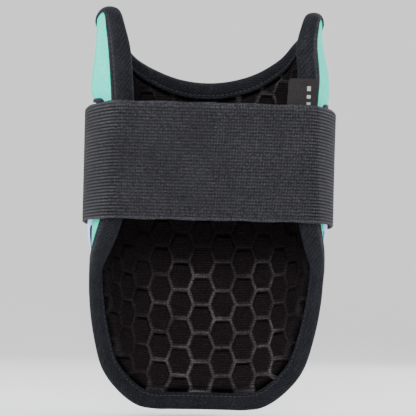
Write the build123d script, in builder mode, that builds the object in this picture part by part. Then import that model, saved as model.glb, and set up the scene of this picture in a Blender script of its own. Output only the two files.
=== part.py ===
"""Batting elbow guard: a curved padded shell, worn on the arm and closed by one elastic strap.

Frame: +Z runs along the arm, upwards; the convex, struck front faces +Y and the open side faces -Y;
+X is to the right when looking into the open side. The origin is on the arm's axis, level with the
guard's lower end. Every layer of the wall is the same U-shaped section at another depth, bent about
one horizontal axis behind the arm. Depths count inwards from the outer fabric: a negative depth is
outside it.
"""

from build123d import *
from math import asin, atan2, cos, degrees, radians, sin, sqrt
import os

# ---- wall section, at the outer face of the fabric
FRONT_RADIUS = 74.0
FRONT_CENTRE_Y = -15.0
CORNER_RADIUS = 57.0
CORNER_CENTRE_X = 8.0
FLANK_RADIUS = 77.0
FLANK_CENTRE_X = CORNER_CENTRE_X + CORNER_RADIUS - FLANK_RADIUS
FLANK_SWEEP = 46.0
FRONT_SWEEP = degrees(asin(CORNER_CENTRE_X / (FRONT_RADIUS - CORNER_RADIUS)))

# ---- lengthwise bend of the wall
BEND_Y = -400.0
BEND_Z = 110.0
BEND_HALF_ANGLE = 21.0

# ---- layers, as depths below the outer face of the fabric
COVER = 0.9
SHELL_DEPTH = 3.1
IMPACT_DEPTH = 5.4
COMFORT_DEPTH = 7.6
LINING_DEPTH = 8.5
HEX_DEPTH = 9.9
EDGE_FOAM_DEPTH = 4.3
EDGE_LINING_DEPTH = 5.2
BINDING = 0.9
TRIM_DEPTH = -1.1
PLATE_DEPTH = -2.5

# ---- borders, as distances in from the guard's edge
BINDING_WIDTH = 9.5
PAD_BORDER = 10.6
SHELL_BORDER = 11.5
TRIM_BORDER = 17.5
PLATE_BORDER = 20.0
HEX_BORDER = 13.0

# ---- rear elevation: scoop tongue below, U notch above
TONGUE_FLAT = 26.0
TONGUE_RADIUS = 38.0
TONGUE_TURN = 70.0
TONGUE_RISE = 60.0
NOTCH_RADIUS = 80.0
NOTCH_BOTTOM_Z = 192.4
PLATE_TOP_Z = 173.2
REAR_HALF_WIDTH = 110.0
REAR_SHOULDER_Z = 140.0
REAR_TOP_Z = 260.0

# ---- side elevation: the flanks' edge, as y and z from below to above, and the radii of its bends
GUARD_TOP_Z = 221.3
SIDE_EDGE = (
    (44, -8),
    (18, 25),
    (-4.5, 75),
    (-39.8, 101.5),
    (-46.6, 138),
    (-50.9, 182),
    (-50.9, GUARD_TOP_Z),
    (80, GUARD_TOP_Z - 5),
)
SIDE_EDGE_RADII = [60, 30, 25, 120, 120, 11]

# ---- how far the trimming solids reach past the part
TRIM_REACH = 130.0
TRIM_MARGIN = 5.0

# ---- outer fabric: seams between the front panel and the flank panels
SEAM_ANGLE = 52.0

# ---- elastic strap
STRAP_WIDTH = 63.5
STRAP_THICKNESS = 1.6
STRAP_LOW_Y = -43.4
STRAP_LOW_Z = 105.8
STRAP_HIGH_Y = -52.4
STRAP_INNER_DEPTH = -4.0
STRAP_OUTER_DEPTH = STRAP_INNER_DEPTH - STRAP_THICKNESS
STRAP_FLANK_RADIUS = 77.0
STRAP_HIGH_Z = STRAP_LOW_Z + sqrt(STRAP_WIDTH**2 - (STRAP_HIGH_Y - STRAP_LOW_Y) ** 2)
CREASE_GAP = 0.6
WRAP_GAP = 1.6
SLOT_ANGLE = 58.0
SLOT_HALF_ANGLE = 1.6
SLOT_CLEARANCE = 1.5
ANCHOR_FIRST_ANGLE = SLOT_ANGLE - 14.0
TAIL_FIRST_ANGLE = SLOT_ANGLE - 0.7
TAIL_LAST_ANGLE = SLOT_ANGLE + 0.8
FREE_END_ANGLE = 64.0
TAB_LENGTH_ANGLE = 8.0
TAB_HEIGHT = 28.0
TAB_GAP_ANGLE = 0.5
HOOK_THICKNESS = 0.6
HOOK_FIRST_ANGLE = FREE_END_ANGLE + 0.5
HOOK_LAST_ANGLE = FREE_END_ANGLE + 21.0
LOOP_FIRST_ANGLE = FREE_END_ANGLE - 1.0
LOOP_LAST_ANGLE = FREE_END_ANGLE + 22.0
LOOP_DEPTH = -3.0
LOOP_RECESS_DEPTH = -1.9
PATCH_BORDER = 3.0
PATCH_SPAN = (STRAP_LOW_Z + PATCH_BORDER, STRAP_HIGH_Z - PATCH_BORDER)
TAB_LAST_ANGLE = FREE_END_ANGLE - TAB_GAP_ANGLE
TAB_MIDDLE_Z = (STRAP_LOW_Z + STRAP_HIGH_Z) / 2
TAB_OUTER_DEPTH = STRAP_OUTER_DEPTH + 0.1
TAB_INNER_DEPTH = STRAP_INNER_DEPTH - 0.3

# ---- hexagon cells of the pad
HEX_COLUMN = 12.5
HEX_ROW = 16.5
HEX_EDGE = 9.3
HEX_LINE = 1.7
HEX_FIRST_Z = 20.0
HEX_HALF_COLUMNS = 3
HEX_ROWS = 11

# ---- folded label, as y and z of its lower and upper ends
LABEL_INNER_X = 39.5
LABEL_WIDTH = 13.0
LABEL_THICKNESS = 1.0
LABEL_LOW = (-49.3, 160.0)
LABEL_HIGH = (-51.9, 184.0)

BEND_AXIS = Axis((0, BEND_Y, BEND_Z), (1, 0, 0))
STRAP_TILT = degrees(atan2(STRAP_HIGH_Y - STRAP_LOW_Y, STRAP_HIGH_Z - STRAP_LOW_Z))
STRAP_PLANE = Plane(
    origin=(0, STRAP_LOW_Y, STRAP_LOW_Z),
    x_dir=(1, 0, 0),
    z_dir=(0, -cos(radians(STRAP_TILT)), sin(radians(STRAP_TILT))),
)


def section_plane():
    """Plane of the wall section at the lower end of its bend, with y forwards."""
    start = radians(-BEND_HALF_ANGLE)
    reach = -BEND_Y
    origin = (0, BEND_Y + reach * cos(start), BEND_Z + reach * sin(start))
    return Plane(origin=origin, x_dir=(1, 0, 0), z_dir=(0, -sin(start), cos(start)))


def wall_layer(outer, inner):
    """A layer of the wall between two depths, over the whole section and bend."""
    with BuildSketch(section_plane()) as section:
        with BuildLine():
            for depth in (outer, inner):
                corner = CORNER_RADIUS - depth
                flank = FLANK_RADIUS - depth
                front = FRONT_RADIUS - depth
                CenterArc((0, FRONT_CENTRE_Y), front, 90 - FRONT_SWEEP, 2 * FRONT_SWEEP)
                CenterArc((CORNER_CENTRE_X, 0), corner, 0, 90 - FRONT_SWEEP)
                CenterArc((-CORNER_CENTRE_X, 0), corner, 90 + FRONT_SWEEP, 90 - FRONT_SWEEP)
                CenterArc((FLANK_CENTRE_X, 0), flank, -FLANK_SWEEP, FLANK_SWEEP)
                CenterArc((-FLANK_CENTRE_X, 0), flank, 180, FLANK_SWEEP)
            for side in (-1, 1):
                ends = []
                for depth in (outer, inner):
                    radius = FLANK_RADIUS - depth
                    across = FLANK_CENTRE_X + radius * cos(radians(FLANK_SWEEP))
                    ends.append((side * across, -radius * sin(radians(FLANK_SWEEP))))
                Line(ends[0], ends[1])
        make_face()
    revolve(section.sketch, axis=BEND_AXIS, revolution_arc=2 * BEND_HALF_ANGLE)


def ring_sector(centre_x, inner, outer, start, end):
    """A flat sector of a ring, drawn in the section plane, from angle start to end."""
    with BuildLine() as outline:
        CenterArc((centre_x, 0), inner, start, end - start)
        CenterArc((centre_x, 0), outer, start, end - start)
        for angle in (start, end):
            reach = (cos(radians(angle)), sin(radians(angle)))
            near = (centre_x + inner * reach[0], inner * reach[1])
            far = (centre_x + outer * reach[0], outer * reach[1])
            Line(near, far)
    make_face(outline.line.edges())


def corner_piece(side, outer, inner, first, last):
    """A piece of wall round one front corner. Angles count sideways from straight ahead."""
    low = 90 - side * last
    high = 90 - side * first
    low, high = sorted((low, high))
    with BuildSketch(section_plane()) as section:
        ring_sector(
            side * CORNER_CENTRE_X, CORNER_RADIUS - inner, CORNER_RADIUS - outer, low, high
        )
    revolve(section.sketch, axis=BEND_AXIS, revolution_arc=2 * BEND_HALF_ANGLE)


def edge_outline(border):
    """Trim the part to the guard's edge, or to a line a border's width inside it."""
    with BuildSketch(Plane.XZ) as rear:
        with BuildLine():
            Line((-TONGUE_FLAT, 0), (TONGUE_FLAT, 0))
            for side in (-1, 1):
                turn = radians(TONGUE_TURN)
                across = TONGUE_FLAT + TONGUE_RADIUS * sin(turn)
                up = TONGUE_RADIUS * (1 - cos(turn))
                middle = radians(TONGUE_TURN / 2)
                ThreePointArc(
                    (side * TONGUE_FLAT, 0),
                    (
                        side * (TONGUE_FLAT + TONGUE_RADIUS * sin(middle)),
                        TONGUE_RADIUS * (1 - cos(middle)),
                    ),
                    (side * across, up),
                )
                wide = across + TONGUE_RISE / sin(turn) * cos(turn)
                notch_z = NOTCH_BOTTOM_Z + NOTCH_RADIUS
                notch_half = sqrt(NOTCH_RADIUS**2 - (notch_z - REAR_TOP_Z) ** 2)
                Polyline(
                    (side * across, up),
                    (side * wide, up + TONGUE_RISE),
                    (side * REAR_HALF_WIDTH, REAR_SHOULDER_Z),
                    (side * REAR_HALF_WIDTH, REAR_TOP_Z),
                    (side * notch_half, REAR_TOP_Z),
                )
            ThreePointArc((-notch_half, REAR_TOP_Z), (0, NOTCH_BOTTOM_Z), (notch_half, REAR_TOP_Z))
        make_face()
        if border:
            offset(amount=-border)
    extrude(rear.sketch, amount=TRIM_REACH, both=True, mode=Mode.INTERSECT)
    with BuildSketch(Plane.YZ) as side_view:
        with BuildLine():
            edge = FilletPolyline(*SIDE_EDGE, radius=SIDE_EDGE_RADII)
            Polyline(edge @ 1, (SIDE_EDGE[-1][0], SIDE_EDGE[0][1]), edge @ 0)
        make_face()
        if border:
            offset(amount=-border)
    extrude(side_view.sketch, amount=TRIM_REACH, both=True, mode=Mode.INTERSECT)


def level_band(low, high):
    """Keep what lies between two heights."""
    with BuildSketch(Plane.XY.offset(low)) as level:
        Rectangle(2 * TRIM_REACH, 2 * TRIM_REACH)
    extrude(level.sketch, amount=high - low, mode=Mode.INTERSECT)


def seam_plane(side, angle):
    """Upright plane through a front corner's centre, at an angle from straight ahead."""
    turn = radians(angle)
    return Plane(
        origin=(side * CORNER_CENTRE_X, 0, 0),
        x_dir=(side * sin(turn), cos(turn), 0),
        z_dir=(side * cos(turn), -sin(turn), 0),
    )


os.makedirs("parts", exist_ok=True)


def save(part, name):
    part.label = name
    export_step(part, f"parts/{name}.step")


# ---- outer fabric: two flank panels and a front panel, butted at two seams
with BuildPart() as whole_cover:
    wall_layer(0, COVER)
    edge_outline(BINDING)

cover_sides = []
for side, name in ((-1, "cover_left"), (1, "cover_right")):
    with BuildPart() as cover_side:
        add(whole_cover.part)
        split(bisect_by=seam_plane(side, SEAM_ANGLE), keep=Keep.TOP)
        split(bisect_by=Plane.YZ, keep=Keep.TOP if side > 0 else Keep.BOTTOM)
    save(cover_side.part, name)
    cover_sides.append(cover_side.part)

with BuildPart() as cover_front:
    add(whole_cover.part)
    add(cover_sides, mode=Mode.SUBTRACT)
save(cover_front.part, "cover_front")

# ---- stiff shell, set back from the sewn edge
with BuildPart() as hard_shell:
    wall_layer(COVER, SHELL_DEPTH)
    edge_outline(SHELL_BORDER)
save(hard_shell.part, "hard_shell")

# ---- dense foam: thin where the binding folds round it, with a pocket for the shell
with BuildPart() as edge_foam:
    wall_layer(COVER, EDGE_FOAM_DEPTH)
    edge_outline(BINDING)

with BuildPart() as inner_foam:
    wall_layer(EDGE_FOAM_DEPTH, IMPACT_DEPTH)
    edge_outline(SHELL_BORDER)

with BuildPart() as impact_foam:
    add(edge_foam.part)
    add(inner_foam.part)
    add(hard_shell.part, mode=Mode.SUBTRACT)
save(impact_foam.part, "impact_foam")

# ---- soft foam that raises the padded area
with BuildPart() as comfort_foam:
    wall_layer(IMPACT_DEPTH, COMFORT_DEPTH)
    edge_outline(SHELL_BORDER)
save(comfort_foam.part, "comfort_foam")

# ---- lining: a tray over the soft foam, and a flat border that runs under the binding
with BuildPart() as lining_border:
    wall_layer(EDGE_FOAM_DEPTH, EDGE_LINING_DEPTH)
    edge_outline(BINDING)

with BuildPart() as lining_tray:
    wall_layer(EDGE_FOAM_DEPTH, LINING_DEPTH)
    edge_outline(PAD_BORDER)

with BuildPart() as lining:
    add(lining_border.part)
    add(lining_tray.part)
    add(inner_foam.part, mode=Mode.SUBTRACT)
    add(comfort_foam.part, mode=Mode.SUBTRACT)
save(lining.part, "lining")

# ---- raised hexagon cells of the pad
with BuildPart() as hex_cells:
    wall_layer(LINING_DEPTH, HEX_DEPTH)
    edge_outline(HEX_BORDER)
    with BuildSketch(Plane.XZ):
        for column in range(-HEX_HALF_COLUMNS, HEX_HALF_COLUMNS + 1):
            lift = HEX_ROW / 2 * (column % 2)
            half_edge = HEX_EDGE / 2 - HEX_LINE / 3
            half_width = HEX_COLUMN - HEX_EDGE / 2 - HEX_LINE / 2
            half_height = (HEX_ROW - HEX_LINE) / 2
            for row in range(HEX_ROWS):
                with Locations((column * HEX_COLUMN, HEX_FIRST_Z + lift + row * HEX_ROW)):
                    Polygon(
                        (-half_width, 0),
                        (-half_edge, -half_height),
                        (half_edge, -half_height),
                        (half_width, 0),
                        (half_edge, half_height),
                        (-half_edge, half_height),
                        align=None,
                    )
    extrude(amount=-TRIM_REACH, mode=Mode.INTERSECT)
save(hex_cells.part, "hex_cells")

# ---- binding: a U of fabric folded over the whole edge
with BuildPart() as binding_core:
    wall_layer(0, EDGE_LINING_DEPTH)
    edge_outline(BINDING)

with BuildPart() as binding_window:
    wall_layer(-TRIM_MARGIN, EDGE_LINING_DEPTH + TRIM_MARGIN)
    edge_outline(BINDING_WIDTH)

with BuildPart() as edge_binding:
    wall_layer(-BINDING, EDGE_LINING_DEPTH + BINDING)
    edge_outline(0)
    add(binding_core.part, mode=Mode.SUBTRACT)
    add(binding_window.part, mode=Mode.SUBTRACT)
save(edge_binding.part, "edge_binding")

# ---- front plate and the layer under it, both slotted for the strap
with BuildPart() as strap_slot:
    corner_piece(
        -1,
        PLATE_DEPTH - TRIM_MARGIN,
        0,
        SLOT_ANGLE - SLOT_HALF_ANGLE,
        SLOT_ANGLE + SLOT_HALF_ANGLE,
    )
    level_band(STRAP_LOW_Z - SLOT_CLEARANCE, STRAP_HIGH_Z + SLOT_CLEARANCE)

with BuildPart() as strap_anchor:
    corner_piece(-1, TRIM_DEPTH, 0, ANCHOR_FIRST_ANGLE, SLOT_ANGLE - SLOT_HALF_ANGLE)
    level_band(STRAP_LOW_Z, STRAP_HIGH_Z)
save(strap_anchor.part, "strap_anchor")

with BuildPart() as plate_trim:
    wall_layer(TRIM_DEPTH, 0)
    edge_outline(TRIM_BORDER)
    level_band(0, PLATE_TOP_Z + PLATE_BORDER - TRIM_BORDER)
    add(strap_slot.part, mode=Mode.SUBTRACT)
    add(strap_anchor.part, mode=Mode.SUBTRACT)
save(plate_trim.part, "plate_trim")

with BuildPart() as loop_patch:
    corner_piece(1, LOOP_DEPTH, LOOP_RECESS_DEPTH, LOOP_FIRST_ANGLE, LOOP_LAST_ANGLE)
    level_band(*PATCH_SPAN)
save(loop_patch.part, "loop_patch")

with BuildPart() as front_plate:
    wall_layer(PLATE_DEPTH, TRIM_DEPTH)
    edge_outline(PLATE_BORDER)
    level_band(0, PLATE_TOP_Z)
    add(strap_slot.part, mode=Mode.SUBTRACT)
    add(loop_patch.part, mode=Mode.SUBTRACT)
save(front_plate.part, "front_plate")

# ---- strap: fixed wrap on the left, flat span across the opening, free wrap on the right
STRAP_CORNER_RADIUS = CORNER_RADIUS - STRAP_INNER_DEPTH
STRAP_SIDE_X = CORNER_CENTRE_X + STRAP_CORNER_RADIUS
STRAP_FLANK_CENTRE_X = STRAP_SIDE_X - STRAP_FLANK_RADIUS


def strap_wrap(side, free_angle):
    """One wrap of the strap round a flank, from the crease to an angle near the front."""
    flank = sorted((90 - side * 90, 90 - side * (90 + FLANK_SWEEP)))
    corner = sorted((90 - side * free_angle, 90 - side * 90))
    with BuildSketch(section_plane()) as section:
        ring_sector(
            side * STRAP_FLANK_CENTRE_X,
            STRAP_FLANK_RADIUS,
            STRAP_FLANK_RADIUS + STRAP_THICKNESS,
            *flank,
        )
        ring_sector(
            side * CORNER_CENTRE_X,
            STRAP_CORNER_RADIUS,
            STRAP_CORNER_RADIUS + STRAP_THICKNESS,
            *corner,
        )
    revolve(section.sketch, axis=BEND_AXIS, revolution_arc=2 * BEND_HALF_ANGLE)
    level_band(STRAP_LOW_Z, STRAP_HIGH_Z)
    split(bisect_by=STRAP_PLANE.offset(-WRAP_GAP), keep=Keep.BOTTOM)


def crease_across(y, z):
    """Half-width of the strap's flat span where its middle plane meets the wrap's middle."""
    forward = sqrt((y - BEND_Y) ** 2 + (z - BEND_Z) ** 2) + BEND_Y
    radius = STRAP_FLANK_RADIUS + STRAP_THICKNESS / 2
    return STRAP_FLANK_CENTRE_X + sqrt(radius**2 - forward**2)


with BuildPart() as strap_left:
    strap_wrap(-1, TAIL_FIRST_ANGLE)
    corner_piece(-1, STRAP_OUTER_DEPTH, TRIM_DEPTH, TAIL_FIRST_ANGLE, TAIL_LAST_ANGLE)
    level_band(STRAP_LOW_Z, STRAP_HIGH_Z)
save(strap_left.part, "strap_left")

CREASE_LOW_X = crease_across(STRAP_LOW_Y, STRAP_LOW_Z)
CREASE_HIGH_X = crease_across(STRAP_HIGH_Y, STRAP_HIGH_Z)

with BuildPart() as strap_back:
    with BuildSketch(STRAP_PLANE):
        Polygon(
            (-CREASE_LOW_X + CREASE_GAP, 0),
            (CREASE_LOW_X - CREASE_GAP, 0),
            (CREASE_HIGH_X - CREASE_GAP, STRAP_WIDTH),
            (-CREASE_HIGH_X + CREASE_GAP, STRAP_WIDTH),
            align=None,
        )
    extrude(amount=STRAP_THICKNESS / 2, both=True)
save(strap_back.part, "strap_back")

with BuildPart() as strap_side:
    strap_wrap(1, FREE_END_ANGLE)
save(strap_side.part, "strap_side")

with BuildPart() as hook_patch:
    corner_piece(
        1,
        STRAP_INNER_DEPTH,
        STRAP_INNER_DEPTH + HOOK_THICKNESS,
        HOOK_FIRST_ANGLE,
        HOOK_LAST_ANGLE,
    )
    level_band(*PATCH_SPAN)
save(hook_patch.part, "hook_patch")

with BuildPart() as pull_tab:
    corner_piece(
        1,
        TAB_OUTER_DEPTH,
        TAB_INNER_DEPTH,
        TAB_LAST_ANGLE - TAB_LENGTH_ANGLE,
        TAB_LAST_ANGLE,
    )
    level_band(TAB_MIDDLE_Z - TAB_HEIGHT / 2, TAB_MIDDLE_Z + TAB_HEIGHT / 2)
save(pull_tab.part, "pull_tab")

# ---- folded label sewn over the binding of the right flank, its lower end under the strap
with BuildPart() as side_label:
    with BuildSketch(Plane.YZ.offset(LABEL_INNER_X)):
        half = LABEL_THICKNESS / 2
        Polygon(
            (LABEL_LOW[0] - half, LABEL_LOW[1]),
            (LABEL_LOW[0] + half, LABEL_LOW[1]),
            (LABEL_HIGH[0] + half, LABEL_HIGH[1]),
            (LABEL_HIGH[0] - half, LABEL_HIGH[1]),
            align=None,
        )
    extrude(amount=LABEL_WIDTH)
save(side_label.part, "side_label")
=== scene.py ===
"""Looks of the batting elbow guard: bound edge, knit lining with raised hexagons, mint fabric cover,
moulded front plate, ribbed elastic strap and a folded label.

The wall of the guard is a U-shaped section bent lengthwise. Every soft layer is drawn on a flat chart of
that wall and then laid on it: s is the distance round the section from the front's centre line, t the
distance along the guard from its bend's middle, and depth counts inwards from the outer fabric.
All lengths are in millimetres until a mesh is made.
"""

from math import acos, asin, atan2, cos, hypot, pi, radians, sin, sqrt

import bpy
import numpy as np
from mathutils import Matrix, Quaternion, Vector
from mathutils.geometry import delaunay_2d_cdt
from mathutils.kdtree import KDTree


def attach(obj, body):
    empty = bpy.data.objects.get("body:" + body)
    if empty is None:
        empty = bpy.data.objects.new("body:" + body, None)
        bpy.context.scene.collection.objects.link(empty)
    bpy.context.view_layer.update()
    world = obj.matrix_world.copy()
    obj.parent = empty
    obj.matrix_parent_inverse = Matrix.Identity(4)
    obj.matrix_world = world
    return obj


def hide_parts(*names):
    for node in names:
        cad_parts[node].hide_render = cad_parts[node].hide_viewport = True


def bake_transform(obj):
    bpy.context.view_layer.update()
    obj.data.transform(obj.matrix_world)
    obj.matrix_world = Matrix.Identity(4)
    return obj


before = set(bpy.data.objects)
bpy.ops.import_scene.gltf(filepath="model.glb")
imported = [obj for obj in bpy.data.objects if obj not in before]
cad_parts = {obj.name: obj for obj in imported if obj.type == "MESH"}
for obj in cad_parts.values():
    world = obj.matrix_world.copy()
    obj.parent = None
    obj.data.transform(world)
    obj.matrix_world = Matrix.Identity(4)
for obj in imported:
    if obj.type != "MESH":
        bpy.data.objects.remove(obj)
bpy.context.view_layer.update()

MM = 0.001

# ---------------------------------------------------------------- the wall

FRONT_RADIUS = 74.0
FRONT_CENTRE_Y = -15.0
CORNER_RADIUS = 57.0
CORNER_CENTRE_X = 8.0
FLANK_RADIUS = 77.0
FLANK_CENTRE_X = CORNER_CENTRE_X + CORNER_RADIUS - FLANK_RADIUS
FRONT_TURN = asin(CORNER_CENTRE_X / (FRONT_RADIUS - CORNER_RADIUS))
FRONT_ARC = FRONT_RADIUS * FRONT_TURN
SIDE_ARC = FRONT_ARC + CORNER_RADIUS * (pi / 2 - FRONT_TURN)
BEND_Y = -400.0
BEND_Z = 110.0
CHART_RADIUS = 440.0

PLATE_DEPTH = -2.5
TRIM_DEPTH = -1.1
BINDING = 0.9
EDGE_LINING_DEPTH = 5.2
PAD_DEPTH = 8.6
HEX_RISE = 1.3
FLANK_SWELL = 3.6
RIGHT_LEAN = 4.4
LEAN_T = (86, 121)
LEAN_S = (58, 98)
EDGE_STEP = 1.5
COVER_INSET = 2.0


def rise(value, low, high):
    """Smooth step from 0 at low to 1 at high."""
    share = np.clip((value - low) / (high - low), 0, 1)
    return share * share * (3 - 2 * share)


def hump(value, middle, width):
    return np.exp(-((value - middle) / width) ** 2)


def section(s, depth):
    """Place in the wall's section, x and y, at a distance s round it."""
    away = np.abs(s)
    front = away < FRONT_ARC
    corner = away < SIDE_ARC
    turn = np.where(
        front,
        away / FRONT_RADIUS,
        np.where(
            corner,
            FRONT_TURN + (away - FRONT_ARC) / CORNER_RADIUS,
            pi / 2 + (away - SIDE_ARC) / FLANK_RADIUS,
        ),
    )
    radius = np.where(front, FRONT_RADIUS, np.where(corner, CORNER_RADIUS, FLANK_RADIUS)) - depth
    centre_x = np.where(front, 0.0, np.where(corner, CORNER_CENTRE_X, FLANK_CENTRE_X))
    centre_y = np.where(front, FRONT_CENTRE_Y, 0.0)
    return np.sign(s) * (centre_x + radius * np.sin(turn)), centre_y + radius * np.cos(turn)


def bend(x, y, t):
    """Lay section points on the lengthwise bend."""
    angle = t / CHART_RADIUS
    reach = y - BEND_Y
    return np.stack([x, BEND_Y + reach * np.cos(angle), BEND_Z + reach * np.sin(angle)], -1)


def wall(s, t, depth):
    """Points of the wall from chart places and depths. The right flank's tip leans inwards."""
    s, t, depth = np.broadcast_arrays(
        np.asarray(s, float), np.asarray(t, float), np.asarray(depth, float)
    )
    x, y = section(s, depth)
    lean = RIGHT_LEAN * rise(t, *LEAN_T) * rise(s, *LEAN_S)
    return bend(x - lean, y, t)


def chart_from_side(y, z):
    """Chart place of an outer-fabric point given by its side view."""
    reach = hypot(y - BEND_Y, z - BEND_Z)
    forward = reach + BEND_Y
    t = CHART_RADIUS * atan2(z - BEND_Z, y - BEND_Y)
    if forward > FRONT_CENTRE_Y + FRONT_RADIUS * cos(FRONT_TURN):
        return FRONT_RADIUS * acos((forward - FRONT_CENTRE_Y) / FRONT_RADIUS), t
    if forward > 0:
        return FRONT_ARC + CORNER_RADIUS * (acos(forward / CORNER_RADIUS) - FRONT_TURN), t
    return SIDE_ARC + FLANK_RADIUS * (acos(forward / FLANK_RADIUS) - pi / 2), t


def chart_from_rear(x, z):
    """Chart place of an outer-fabric point of the front, given by its rear view."""
    if x < FRONT_RADIUS * sin(FRONT_TURN):
        turn = asin(x / FRONT_RADIUS)
        s, forward = FRONT_RADIUS * turn, FRONT_CENTRE_Y + FRONT_RADIUS * cos(turn)
    else:
        turn = asin((x - CORNER_CENTRE_X) / CORNER_RADIUS)
        s, forward = FRONT_ARC + CORNER_RADIUS * (turn - FRONT_TURN), CORNER_RADIUS * cos(turn)
    return s, CHART_RADIUS * asin((z - BEND_Z) / (forward - BEND_Y))


# ---------------------------------------------------------------- outlines on the chart


def smooth_loop(points, spacing):
    """Closed smooth line through given points, evenly spaced."""
    p = np.array(points, float)
    fine = []
    steps = np.linspace(0, 1, 24, endpoint=False)[:, None]
    for i in range(len(p)):
        a, b, c, d = (p[(i + k) % len(p)] for k in (-1, 0, 1, 2))
        fine.append(
            0.5 * (2 * b + (c - a) * steps + (2 * a - 5 * b + 4 * c - d) * steps**2
                   + (3 * b - a - 3 * c + d) * steps**3)
        )
    return even_loop(np.concatenate(fine), spacing)


def even_loop(line, spacing):
    """The same closed line with evenly spaced points."""
    closed = np.vstack([line, line[:1]])
    along = np.concatenate([[0], np.cumsum(np.linalg.norm(np.diff(closed, axis=0), axis=1))])
    count = int(round(along[-1] / spacing))
    wanted = np.linspace(0, along[-1], count, endpoint=False)
    return np.stack([np.interp(wanted, along, closed[:, k]) for k in (0, 1)], 1)


def soften(line, passes):
    """Round a closed line's corners by averaging neighbours."""
    for _ in range(passes):
        line = (np.roll(line, 1, 0) + 2 * line + np.roll(line, -1, 0)) / 4
    return line


def inward(line):
    """Unit normals of a closed anticlockwise line, towards its inside."""
    along = np.roll(line, -1, 0) - np.roll(line, 1, 0)
    along /= np.linalg.norm(along, axis=1)[:, None]
    return np.stack([-along[:, 1], along[:, 0]], 1)


def inset(line, distance):
    return line + inward(line) * distance


side, rear = chart_from_side, chart_from_rear
LOWER_HALF = [
    rear(0, 0), rear(16, 0), rear(27, 0.2), rear(38, 2.6), side(27.8, 11.6), side(18.2, 24.8),
    side(10.5, 42.7), side(1.6, 62), side(-5.2, 75.5), side(-17, 84.6), side(-27.2, 93.6),
    side(-36.0, 104.4), side(-42.4, 120.6), side(-46.9, 141), side(-49.4, 165), side(-50.9, 188),
    side(-50.9, 206), side(-48.6, 216.2), side(-40.5, 221.0),
]
RIGHT_RIM = [side(-24, 220.4), side(-4, 219.0), side(14, 218.0), rear(52.5, 214.4), rear(45, 206.6)]
LEFT_RIM = [side(-23, 220.6), side(-3, 219.0), side(14, 216.0), rear(51, 210.0), rear(43.5, 204.2)]
LEFT_NOTCH = [rear(31, 199.0), rear(16, 194.8)]
RIGHT_NOTCH = [rear(31, 198.9), rear(16, 194.7)]


def across(points):
    """The same points on the left side, in reverse order."""
    return [(-s, t) for s, t in reversed(points)]


EDGE = smooth_loop(
    LOWER_HALF + RIGHT_RIM + RIGHT_NOTCH + [rear(0, 193.3)]
    + across(LEFT_NOTCH) + across(LEFT_RIM) + across(LOWER_HALF)[:-1],
    EDGE_STEP,
)


def flank_swell(s, t):
    """How much thicker the bound edge is on the flanks than round the front."""
    return FLANK_SWELL * rise(np.abs(s), 97, 130) * (1 - 0.6 * rise(t, 104, 128))


def top_rim(s, t):
    """1 on the flanks' upper rims, where little of the tape shows outside, else 0."""
    away = np.abs(s)
    return rise(t, 84, 100) * rise(away, 58, 76) * (1 - rise(away, 122, 136))


class Border:
    """A closed line that measures how far points are inside it."""

    def __init__(self, line):
        self.line = even_loop(line, 0.25)
        self.normal = inward(soften(self.line, 6))
        self.tree = KDTree(len(self.line))
        for i, (s, t) in enumerate(self.line):
            self.tree.insert((s, t, 0), i)
        self.tree.balance()

    def depth(self, points):
        """Distance to the line, negative outside."""
        found = [self.tree.find((s, t, 0)) for s, t in points]
        nearest = np.array([f[1] for f in found])
        away = np.array([f[2] for f in found])
        side_of = ((points - self.line[nearest]) * self.normal[nearest]).sum(1)
        return np.where(side_of >= 0, away, -away)


# ---------------------------------------------------------------- meshes


def new_mesh(name, points, faces, chart=None, values=None):
    """A smooth mesh object from points in millimetres, with the chart kept as its UV map."""
    mesh = bpy.data.meshes.new(name)
    mesh.from_pydata((np.asarray(points) * MM).tolist(), [], [list(map(int, f)) for f in faces])
    mesh.validate()
    if chart is not None:
        layer = mesh.uv_layers.new(name="chart")
        corner = np.empty(len(mesh.loops), np.int32)
        mesh.loops.foreach_get("vertex_index", corner)
        layer.data.foreach_set("uv", np.asarray(chart, np.float32)[corner].ravel())
    for key, value in (values or {}).items():
        attribute = mesh.attributes.new(key, "FLOAT", "POINT")
        attribute.data.foreach_set("value", np.asarray(value, np.float32))
    mesh.shade_smooth()
    thing = bpy.data.objects.new(name, mesh)
    bpy.context.scene.collection.objects.link(thing)
    return thing


def triangles(line, spacing, rings, extra):
    """Chart points and triangles that fill a closed line, denser at the rings and extra points."""
    border = Border(line)
    parts = [line]
    last = 0.0
    for distance in rings:
        ring = inset(line, distance)
        parts.append(ring[border.depth(ring) > 0.93 * distance])
        last = distance
    low, high = line.min(0), line.max(0)
    along = np.arange(low[0], high[0], spacing)
    up = np.arange(low[1], high[1], spacing * 0.87)
    grid = np.stack(np.meshgrid(along, up), -1)
    grid[1::2, :, 0] += spacing / 2
    grid = grid.reshape(-1, 2)
    parts.append(grid[border.depth(grid) > last + 0.6 * spacing])
    if extra is not None:
        parts.append(extra[border.depth(extra) > last + 0.3])
    points = np.concatenate(parts)
    count = len(line)
    edges = [(i, (i + 1) % count) for i in range(count)]
    found = delaunay_2d_cdt([Vector(p) for p in points], edges, [], 1, 1e-5)
    chart = np.array([tuple(v) for v in found[0]])
    away = np.maximum(border.depth(chart), 0)
    away[:count] = 0
    return chart, found[2], count, away


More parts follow.
